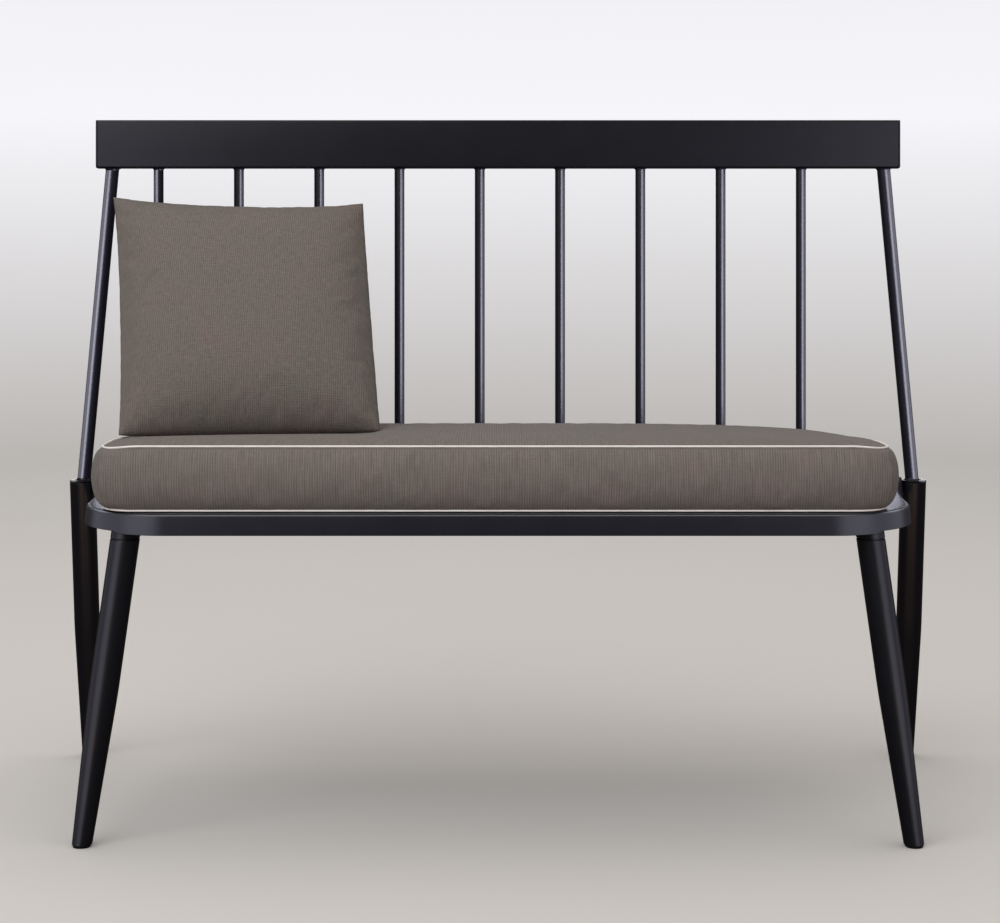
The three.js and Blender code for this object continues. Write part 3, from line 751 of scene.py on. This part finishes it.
def shell_grid(columns, rows, walls, place):
    """A closed shell like a box's skin: a top and a bottom grid and, between them, a wall.
    place(u, v, w) gives a point for u and v from -1 to 1 and w from 0, below, to 1, above.
    With no wall the two grids share their rim. Returns verts, faces and the (u, v, w) of each vertex."""
    verts, faces, keys, index = [], [], [], {}

    def at(i, j, k):
        on_rim = i in (0, columns) or j in (0, rows)
        if walls == 0 and on_rim:
            k = 0
        if (i, j, k) not in index:
            depth = k / walls if walls else (0.5 if on_rim else float(k))
            key = (2 * i / columns - 1, 2 * j / rows - 1, depth)
            index[(i, j, k)] = len(verts)
            verts.append(place(*key))
            keys.append(key)
        return index[(i, j, k)]

    def face(*corners):
        faces.append(tuple(at(*corner) for corner in corners))

    top = walls or 1
    for i in range(columns):
        for j in range(rows):
            face((i, j, top), (i + 1, j, top), (i + 1, j + 1, top), (i, j + 1, top))
            face((i, j, 0), (i, j + 1, 0), (i + 1, j + 1, 0), (i + 1, j, 0))
    for k in range(walls):
        for i in range(columns):
            face((i, 0, k), (i + 1, 0, k), (i + 1, 0, k + 1), (i, 0, k + 1))
            face((i, rows, k), (i, rows, k + 1), (i + 1, rows, k + 1), (i + 1, rows, k))
        for j in range(rows):
            face((0, j, k), (0, j, k + 1), (0, j + 1, k + 1), (0, j + 1, k))
            face((columns, j, k), (columns, j + 1, k), (columns, j + 1, k + 1), (columns, j, k + 1))
    return verts, faces, keys


CLOTH_STIFFNESS = 12.0
CLOTH_FRAMES = 20


def inflate(obj, held, pressure, spare, cap):
    """Blows the sewn shell up as cloth, with no gravity. held are vertices that stay put, spare is how
    much longer the cloth is than the shape it starts from, and cap is the furthest that a point moves."""
    scene = bpy.context.scene
    group = obj.vertex_groups.new(name="held")
    group.add(held, 1.0, "REPLACE")
    modifier = obj.modifiers.new("Cloth", "CLOTH")
    cloth = modifier.settings
    cloth.quality = 5
    cloth.mass = 0.3
    cloth.tension_stiffness = CLOTH_STIFFNESS
    cloth.compression_stiffness = CLOTH_STIFFNESS
    cloth.shear_stiffness = CLOTH_STIFFNESS / 2
    cloth.bending_stiffness = 0.6
    cloth.air_damping = 3.0
    cloth.use_pressure = True
    cloth.uniform_pressure_force = pressure
    cloth.shrink_min = -spare
    cloth.effector_weights.gravity = 0
    cloth.vertex_group_mass = group.name
    modifier.collision_settings.use_collision = False
    modifier.collision_settings.use_self_collision = False
    modifier.point_cache.frame_start = 1
    modifier.point_cache.frame_end = CLOTH_FRAMES
    for number in range(1, CLOTH_FRAMES + 1):
        scene.frame_set(number)
    count = len(obj.data.vertices)
    before, after = np.zeros(count * 3), np.zeros(count * 3)
    obj.data.vertices.foreach_get("co", before)
    shape = obj.evaluated_get(bpy.context.evaluated_depsgraph_get()).to_mesh()
    shape.vertices.foreach_get("co", after)
    obj.modifiers.remove(modifier)
    scene.frame_set(1)
    before, after = before.reshape(-1, 3), after.reshape(-1, 3)
    move = after - before
    far = np.linalg.norm(move, axis=1)
    limit = cap * np.tanh(far / cap) / np.maximum(far, 1e-9)
    obj.data.vertices.foreach_set("co", (before + move * limit[:, None]).ravel())
    obj.data.update()


def smoothed(obj):
    modifier = obj.modifiers.new("Subdivision", "SUBSURF")
    modifier.levels = 1
    modifier.render_levels = 1


def cord_loop(path, radius, sides=10):
    """A round cord along a closed path."""
    points = np.array([tuple(p) for p in path])
    tangent = np.roll(points, -1, axis=0) - np.roll(points, 1, axis=0)
    tangent /= np.linalg.norm(tangent, axis=1)[:, None]
    loops = []
    for centre, along in zip(points, tangent):
        along = Vector(along)
        side = along.cross(UP).normalized()
        turns = spokes(side, side.cross(along), sides)
        loops.append([Vector(centre) + spoke * radius for _, spoke in turns])
    return skin(loops, closed=True)


# ---- seat cushion

cushion_low, cushion_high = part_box("seat_cushion_cover")
piping_low, piping_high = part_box("seat_cushion_piping_top")
PIPING_R = 0.0014
PIPING_OUT = 0.0006  # how far the cord's middle stands out from the seam
PIPING_TURN = 0.06  # how far before a corner it starts to turn
CUSHION_X = -0.004  # the loose cushion lies a little to the left
HALF_LONG = 0.530  # half length along the piping
PIPING_FRONT = piping_low.y + 0.0025
PIPING_REAR = piping_high.y - 0.0025
HALF_DEEP = (PIPING_REAR - PIPING_FRONT) / 2
CUSHION_Y = (PIPING_REAR + PIPING_FRONT) / 2
LOW_PIPING_Z = cushion_low.z + 0.0022
FRONT_PIPING_Z = 0.5314
REAR_DROP = 0.0078  # how much lower the rear piping runs than the front piping
REAR_END_DROP = {-1: 0.0100, 1: 0.0160}  # and how much further it falls towards the left and right ends
CORNER_DROP = 0.0046  # how much lower the piping runs round the front corners
FRONT_CORNER = 0.048
REAR_CORNER = 0.090
CROWN = 0.0045
FRONT_BULGE = 0.0155
REAR_BULGE = 0.0115
END_BULGE = 0.0155
CUSHION_GRID = (150, 56, 14)

DENT = 0.0085  # how deep the pillow's lower edge presses in, and where
DENT_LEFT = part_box("throw_pillow_cover")[0].x - 0.01
DENT_RIGHT = -0.150
DENT_Y = -0.008
DENT_REACH = 0.055
DENT_FADE = 0.05


def rounded_plan(u, v):
    """A square grid's point moved into a rectangle with round corners, from its own middle."""
    x, y = u * HALF_LONG, v * HALF_DEEP
    radius = REAR_CORNER if v > 0 else FRONT_CORNER
    inner_x, inner_y = HALF_LONG - radius, HALF_DEEP - radius
    s, t = (abs(x) - inner_x) / radius, (abs(y) - inner_y) / radius
    if s > 0 and t > 0:
        pull = max(s, t) / math.hypot(s, t)
        x = math.copysign(inner_x + s * pull * radius, x)
        y = math.copysign(inner_y + t * pull * radius, y)
    return x, y


def top_sheet(x, y):
    """Height of the upper piping's plane, which falls to the rear and more so at the ends."""
    u, v = x / HALF_LONG, y / HALF_DEEP
    rear = REAR_DROP + REAR_END_DROP[-1 if u < 0 else 1] * abs(u) ** 4
    corner = CORNER_DROP * smoothstep((abs(u) - 0.90) / 0.10) * smoothstep(-0.1 - v)
    return FRONT_PIPING_Z - rear * smoothstep((v + 1) / 2) - corner


def pillow_dent(x, y):
    """How deep the pillow presses the cushion in at a place."""
    across = smoothstep((x + CUSHION_X - DENT_LEFT) / DENT_FADE)
    across *= smoothstep((DENT_RIGHT - x - CUSHION_X) / DENT_FADE)
    return DENT * across * math.exp(-(((y + CUSHION_Y - DENT_Y) / DENT_REACH) ** 2))


def cushion_point(u, v, w):
    """The boxed cushion: a crowned top, a flat underside and a wall that bulges between the two seams."""
    x, y = rounded_plan(u, v)
    on_rim = max(abs(u), abs(v)) > 0.9999
    z_top = top_sheet(x, y)
    if not on_rim and w > 0.5:
        crown = CROWN * (1 - abs(u) ** 2.3) ** 0.5 * (1 - abs(v) ** 2.6) ** 0.55
        z = z_top + crown - pillow_dent(x, y)
    elif not on_rim:
        z = cushion_low.z + 0.0006 + 0.0016 * smoothstep((max(abs(u), abs(v)) - 0.93) / 0.07)
    else:
        z = LOW_PIPING_Z + (z_top - LOW_PIPING_Z) * w
        belly = 4 * w * (1 - w)
        x += math.copysign(END_BULGE * belly ** 0.5 * abs(u) ** 14, u)
        front = FRONT_BULGE if v < 0 else REAR_BULGE
        y += math.copysign(front * belly ** 0.65 * abs(v) ** 14, v)
    return Vector((x + CUSHION_X, y + CUSHION_Y, z))


def seat_cushion():
    verts, faces, keys = shell_grid(*CUSHION_GRID, cushion_point)
    cover = piece(
        "seat_cushion", (verts, faces), CUSHION_CLOTH, "seat_cushion",
        ["seat_cushion_cover", "seat_cushion_foam"], crease=0,
    )
    held = [
        i for i, (u, v, w) in enumerate(keys)
        if w < 1e-6 or (w > 0.9999 and max(abs(u), abs(v)) > 0.9999)
    ]
    inflate(cover, held, pressure=2.0, spare=0.008, cap=0.0035)
    smoothed(cover)
    return cover


def piping_path(w, out):
    """The path along a seam of the cushion, w 0 for the lower and 1 for the upper one."""
    columns, rows, _ = CUSHION_GRID
    rim = [(2 * i / columns - 1, -1) for i in range(columns)]
    rim += [(1, 2 * i / rows - 1) for i in range(rows)]
    rim += [(1 - 2 * i / columns, 1) for i in range(columns)]
    rim += [(-1, 1 - 2 * i / rows) for i in range(rows)]

    def beyond(distance, half):
        """How far a distance reaches past the straight part of a side, 0 within it."""
        return distance - math.copysign(min(abs(distance), half - PIPING_TURN), distance)

    points = []
    for u, v in rim:
        place = cushion_point(u, v, w)
        away = Vector((beyond(place.x - CUSHION_X, HALF_LONG), beyond(place.y - CUSHION_Y, HALF_DEEP), 0))
        points.append(place + away.normalized() * out)
    return points


cover = seat_cushion()
for place, w in (("top", 1), ("bottom", 0)):
    cord = cord_loop(piping_path(w, PIPING_OUT), PIPING_R)
    piece(f"seat_cushion_piping_{place}", cord, TWILL, "seat_cushion", crease=0)

# ---- throw pillow

PILLOW_X = -0.371
PILLOW_FOOT_Y = -0.018
PILLOW_FOOT_Z = 0.5298
PILLOW_LEAN = 35.6  # degrees back from upright
PILLOW_CORNERS = [(-0.168, -0.006), (0.206, 0.001), (0.169, 0.401), (-0.212, 0.413)]
PILLOW_GRID = (72, 72, 0)
PILLOW_HALF_THICK = 0.062
PILLOW_BELLY = 0.20  # how much fuller the pillow is low down than high up
PILLOW_ZIP_UP = 0.034  # height of the zip above the lower edge
PULL_TOP, PULL_FOOT = 0.015, -0.001  # how far the upper and lower edges pull in at their middles
PULL_SIDE = {-1: 0.0056, 1: 0.0}  # the same of the left and right edges


def pillow_frame():
    """The pillow's own axes: its foot, and the directions across, up its middle plane and out in front."""
    foot = Vector((PILLOW_X, PILLOW_FOOT_Y, PILLOW_FOOT_Z))
    lean = math.radians(PILLOW_LEAN)
    up = Vector((0, math.sin(lean), math.cos(lean)))
    out = Vector((0, -math.cos(lean), math.sin(lean)))
    return Matrix((
        (1, up.x, out.x, foot.x),
        (0, up.y, out.y, foot.y),
        (0, up.z, out.z, foot.z),
        (0, 0, 0, 1),
    ))


def pillow_point(u, v, w):
    """A full pillow in its own axes: its corners stand out and its edges pull in between them."""
    low_left, low_right, high_right, high_left = (Vector(c) for c in PILLOW_CORNERS)
    s, t = (u + 1) / 2, (v + 1) / 2
    place = low_left.lerp(low_right, s).lerp(high_left.lerp(high_right, s), t)
    sag_x = (4 * t * (1 - t)) ** 0.7
    sag_y = (4 * s * (1 - s)) ** 0.7
    place.x -= PULL_SIDE[-1 if u < 0 else 1] * sag_x * u
    place.y -= (PULL_TOP if v > 0 else -PULL_FOOT) * sag_y * v ** 2
    dome = ((1 - abs(u) ** 2.4) * (1 - abs(v) ** 2.4)) ** 0.5
    thick = PILLOW_HALF_THICK * dome * (1 - PILLOW_BELLY * v)
    return Vector((place.x, place.y, thick if w > 0.5 else -thick))


def throw_pillow():
    verts, faces, keys = shell_grid(*PILLOW_GRID, pillow_point)
    cover = piece(
        "throw_pillow", (verts, faces), PILLOW_CLOTH, "throw_pillow",
        ["throw_pillow_cover", "throw_pillow_insert"], crease=0,
    )
    seam = [i for i, (u, v, _) in enumerate(keys) if max(abs(u), abs(v)) > 0.999]
    inflate(cover, seam, pressure=2.5, spare=0.010, cap=0.012)
    cover.parent = None
    cover.matrix_world = pillow_frame()
    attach(cover, "throw_pillow")
    smoothed(cover)
    return cover


pillow = throw_pillow()

# ---- zips

ZIP_TAPE_WIDTH = 0.022
ZIP_TAPE_THICK = 0.0006
TOOTH_PITCH = 0.0017
TOOTH_HALF = 0.0021
TOOTH_SHIFT = 0.0006  # every other tooth stands this far to one side
STITCH_PITCH = 0.0042
STITCH_IN = 0.0024  # how far the stitches run in from the tape's edge
SLIDER_HALF = 0.0055
PULL_LENGTH = 0.024


def outside_of(cover, matrix):
    """A function that finds the cover's surface from outside: origin and direction to place and normal."""
    tree = BVHTree.FromObject(cover, bpy.context.evaluated_depsgraph_get())
    inverse = matrix.inverted()
    turn = matrix.to_3x3()

    def hit(origin, direction):
        place, normal, _, _ = tree.ray_cast(inverse @ origin, turn.inverted() @ direction)
        if place is None:
            place, normal, _, _ = tree.find_nearest(inverse @ origin)
        return matrix @ place, (turn @ normal).normalized()

    return hit


def bar(start, end, half_width, half_height, up):
    """A small bar from start to end with chamfered edges."""
    axis = (end - start).normalized()
    side = axis.cross(up).normalized()
    rise = side.cross(axis)
    section = [(1, 0.5), (0.5, 1), (-0.5, 1), (-1, 0.5), (-1, -0.5), (-0.5, -1), (0.5, -1), (1, -0.5)]
    loops = []
    for along, scale in ((0, 0.6), (0.12, 1), (0.88, 1), (1, 0.6)):
        offsets = [(a * half_width * scale, b * half_height * scale) for a, b in section]
        loops.append([start.lerp(end, along) + side * a + rise * b for a, b in offsets])
    return skin(loops)


def sewn_zip(node, body, hit, start, end, inward, slider_at):
    """A zip let into a cover, from start to end outside it: the tape lies on the cloth, with two rows
    of teeth down its middle, a row of stitches along each edge, and a slider with its pull."""
    axis = (end - start).normalized()
    across = axis.cross(inward).normalized()
    length = (end - start).length

    def surface(along, over, lift):
        place, normal = hit(start + axis * along + across * over, inward)
        return place + normal * lift, normal

    def on_cloth(begin, finish, lift, half_width, half_height):
        """A bar over the cloth between two places, each given along and across the zip."""
        low, normal = surface(*begin, lift)
        high, _ = surface(*finish, lift)
        return bar(low, high, half_width, half_height, normal)

    half = ZIP_TAPE_WIDTH / 2
    overs = [half * (k / 3 - 1) for k in range(7)]
    steps = 124
    loops = []
    for i in range(steps + 1):
        along = length * i / steps
        outer = [surface(along, over, ZIP_TAPE_THICK + 0.0003)[0] for over in overs]
        inner = [surface(along, over, 0.0002)[0] for over in reversed(overs)]
        loops.append(outer + inner)
    piece(node, skin(loops), ZIP_TAPE, body, crease=50)

    teeth = []
    for i in range(int(length / TOOTH_PITCH) - 4):
        along = (i + 2) * TOOTH_PITCH
        shift = TOOTH_SHIFT * (1 if i % 2 else -1)
        ends = (along, shift - TOOTH_HALF), (along, shift + TOOTH_HALF)
        teeth.append(on_cloth(*ends, 0.0017, 0.00062, 0.0007))
    piece(node + "_teeth", merged(teeth), ZIP_COIL, body, crease=50)

    stitches = []
    for over in (STITCH_IN - half, half - STITCH_IN):
        for i in range(int(length / STITCH_PITCH)):
            along = (i + 0.2) * STITCH_PITCH
            ends = (along, over), (along + STITCH_PITCH * 0.62, over)
            stitches.append(on_cloth(*ends, 0.0010, 0.00028, 0.00024))
    piece(node + "_stitches", merged(stitches), ZIP_TAPE, body, crease=50)

    low, normal = surface(slider_at - SLIDER_HALF, 0, 0.0031)
    high, _ = surface(slider_at + SLIDER_HALF, 0, 0.0031)
    bridge = [low.lerp(high, part) + normal * 0.0016 for part in (0.25, 0.75)]
    pull = low.lerp(high, 0.5) + normal * 0.0026
    parts = [bar(low, high, 0.0042, 0.0013, normal), bar(*bridge, 0.0011, 0.0013, normal)]
    parts.append(bar(pull, pull - axis * PULL_LENGTH - normal * 0.0006, 0.0024, 0.0006, normal))
    piece(node + "_slider", merged(parts), ZIP_METAL, body, crease=30)


CUSHION_SLIDER_AT = 0.60
PILLOW_SLIDER_AT = 0.24

zip_low, zip_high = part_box("seat_cushion_zip")
zip_z = (zip_low.z + zip_high.z) / 2
ends = [Vector((x, cushion_high.y + 0.1, zip_z)) for x in (zip_low.x, zip_high.x)]
on_cushion = outside_of(cover, Matrix.Identity(4))
sewn_zip("seat_cushion_zip", "seat_cushion", on_cushion, *ends, -BACKWARD, CUSHION_SLIDER_AT)

zip_low, zip_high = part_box("throw_pillow_zip")
ends = [pillow_frame() @ Vector((x - PILLOW_X, PILLOW_ZIP_UP, -0.2)) for x in (zip_low.x, zip_high.x)]
on_pillow = outside_of(pillow, pillow_frame())
forward = pillow_frame().to_3x3() @ UP
sewn_zip("throw_pillow_zip", "throw_pillow", on_pillow, *ends, forward, PILLOW_SLIDER_AT)

# ---- stage, light and camera

BACKDROP_RADIUS = 6.5
BACKDROP_CURVE = 2.0
BACKDROP_HEIGHT = 6.0
BACKDROP_FADE = 1.2  # height over which the floor's colour turns into the wall's
FLOOR_GLOW = rgb(0.04, 0.035, 0.03)
WALL_GLOW = rgb(0.47, 0.47, 0.50)
WORLD_FILL = 0.62
WORLD_GLOSS = 0.10
WORLD_BELOW = rgb(0.37, 0.32, 0.28)
WORLD_ABOVE = rgb(0.97, 0.98, 1.0)
COOL = (0.84, 0.84, 1.0)
WARM = (1.0, 0.74, 0.58)
LAMP = (1.0, 0.90, 0.78)
BENCH_MIDDLE = (0, 0, 0.5)


def backdrop():
    """A round studio floor that curves up into a wall. It only shows itself and takes shadows: the
    world's light, which stands for the studio, passes through it."""
    floor_radius = BACKDROP_RADIUS - BACKDROP_CURVE
    profile = [(0, 0.001), (0, 1.0), (0, floor_radius)]
    for i in range(1, 17):
        angle = math.pi / 2 * i / 16
        rise, reach = BACKDROP_CURVE * (1 - math.cos(angle)), BACKDROP_CURVE * math.sin(angle)
        profile.append((rise, floor_radius + reach))
    profile.append((BACKDROP_HEIGHT, BACKDROP_RADIUS))
    n = Nodes("backdrop_paint")
    rise = n.between(n.split("Object")["Z"], end=BACKDROP_FADE)
    color = n.mix(rise, rgb(0.72, 0.69, 0.66), rgb(0.86, 0.86, 0.875))
    color = n.mix(n.between(n.noise(2.5, 2), 0.0, 0.06), color, rgb(0.5, 0.48, 0.46))
    glow = n.mix(rise, FLOOR_GLOW, WALL_GLOW)
    paint = n.finish(color, 0.9, Specular_IOR_Level=0.1, Emission_Color=glow, Emission_Strength=1.0)
    loops = turned(Vector((0, 0, 0)), UP, profile, 96)
    obj = mesh_object("backdrop", skin(loops, caps=False), paint, 0)
    obj.visible_glossy = False
    obj.visible_diffuse = False


def linked(name, pieces):
    """A collection that holds the pieces made with these names, for a light to be tied to."""
    collection = bpy.data.collections.new(name)
    for piece_name in pieces:
        collection.objects.link(made[piece_name])
    return collection


def softbox(name, place, target, width, height, radiance, only=(), tint=(1, 1, 1), shaded_by=()):
    """A rectangular area light aimed at a point. With only, it lights just those pieces, by the names
    they were made with; with shaded_by, just those pieces shade it."""
    data = bpy.data.lights.new(name, "AREA")
    data.shape = "RECTANGLE"
    data.size, data.size_y = width, height
    data.energy = radiance * math.pi * width * height
    data.color = tint
    obj = bpy.data.objects.new(name, data)
    bpy.context.scene.collection.objects.link(obj)
    obj.location = place
    obj.rotation_euler = (Vector(target) - Vector(place)).to_track_quat("-Z", "Y").to_euler()
    obj.visible_camera = False
    if only:
        obj.light_linking.receiver_collection = linked(name + "_lights", only)
    if shaded_by:
        obj.light_linking.blocker_collection = linked(name + "_shades", shaded_by)


def studio_world():
    """Soft light from all round: pale above, weaker and warm from the floor. Gloss sees it much dimmer,
    as a dark room with the strip lights in it."""
    n = Nodes("studio", bpy.data.worlds)
    glossy = n.add("ShaderNodeLightPath").outputs["Is Glossy Ray"]
    ramp = n.add("ShaderNodeValToRGB", {"Fac": n.between(n.split("Generated")["Z"], start=-1.0)})
    for stop, position, color in zip(ramp.color_ramp.elements, (0.35, 0.60), (WORLD_BELOW, WORLD_ABOVE)):
        stop.position = position
        stop.color = color
    light = {"Color": ramp.outputs["Color"], "Strength": n.between(glossy, WORLD_FILL, WORLD_GLOSS)}
    background = n.add("ShaderNodeBackground", light)
    n.add("ShaderNodeOutputWorld", {"Surface": background.outputs[0]})
    bpy.context.scene.world = n.owner


backdrop()
studio_world()
softbox("key", (-1.8, -2.4, 3.4), BENCH_MIDDLE, 3.0, 2.2, 2.0)
softbox("overhead", (0.4, 0.6, 3.8), BENCH_MIDDLE, 4.0, 2.6, 0.8, tint=LAMP)

welds = [name for name in made if name.startswith("weld_beads")]
soft_bodies = ("seat_cushion", "throw_pillow")
cushion, pillow_pieces = (
    [name for name, obj in made.items() if body_of(obj) == [body]] for body in soft_bodies
)
softbox("front_fill", (-0.8, -4.2, 2.0), BENCH_MIDDLE, 2.6, 1.6, 4.0, cushion)
softbox("low_fill", (0, -3.4, 0.15), BENCH_MIDDLE, 3.0, 0.6, 2.5, cushion, COOL)
softbox("pillow_fill", (-2.5, -3.5, 2.7), BENCH_MIDDLE, 2.2, 1.6, 4.6, pillow_pieces)

for side, sign in SIDES.items():
    front_leg = [f"front_leg_{side}", f"front_leg_stub_{side}"]
    uprights = [post_nodes[side]] + (spindle_nodes[:1] if side == "left" else spindle_nodes[1:] + welds)
    rail_end = ["top_rail", f"rail_end_cap_{side}"]
    cap = f"rear_leg_cap_{side}"

    in_front, beside, aim = (sign * 2.0, -2.1, 0.9), (sign * 2.9, -0.1, 0.9), (sign * 0.3, 0.2, 0.7)
    tall = (
        ("back_strip_", in_front, 1.7, 12.5, uprights),
        ("leg_strip_", in_front, 2.0, 1.35, front_leg + rail_end),
        ("pan_strip_", in_front, 2.0, 2.0, ["seat_pan"]),
        ("back_panel_", beside, 2.8, 2.8, uprights + [cap]),
        ("pan_panel_", beside, 2.8, 1.0, rail_end + ["seat_pan"]),
        ("leg_panel_", beside, 2.8, 0.4, front_leg),
    )
    for name, place, width, radiance, lit in tall:
        softbox(name + side, place, aim, width, 2.6, radiance, lit, COOL)

    at_cap, at_legs, at_pan = (sign * 0.6, 0.2, 0.45), (sign * 0.6, 0.2, 0.3), (sign * 0.5, -0.2, 0.44)
    softbox("behind_" + side, (sign * 1.1, 5.0, 1.15), at_cap, 2.0, 1.2, 2.6, [cap])
    softbox("low_warm_" + side, (sign * 1.2, -3.0, 0.3), at_legs, 1.6, 0.8, 0.5, front_leg, WARM)
    softbox("rear_warm_" + side, (0, -3.4, 0.8), at_legs, 6.0, 3.0, 1.0, [f"rear_leg_{side}"], WARM)
    softbox("corner_" + side, (sign * 2.7, 1.4, 2.2), at_pan, 2.0, 1.0, 4.0, ["seat_pan"], COOL)
softbox("behind_pan", (0, 5.0, 1.15), (0, 0.2, 0.45), 4.0, 1.2, 1.8, ["seat_pan"], COOL, ["seat_cushion"])
softbox("rim_light", (0, -1.4, 3.4), (0, -0.2, 0.44), 5.5, 0.8, 7, ["seat_pan"])

bpy.context.scene.view_settings.view_transform = "Standard"

camera_data = bpy.data.cameras.new("camera")
camera_data.lens = 81.756
camera_data.sensor_width = 36
camera_data.shift_x = 0.002
camera_data.shift_y = -0.08
camera = bpy.data.objects.new("camera", camera_data)
camera.location = (0, -3.218, 0.86)
camera.rotation_euler = (math.radians(90 - 4.594), 0, 0)
bpy.context.scene.collection.objects.link(camera)
bpy.context.scene.camera = camera
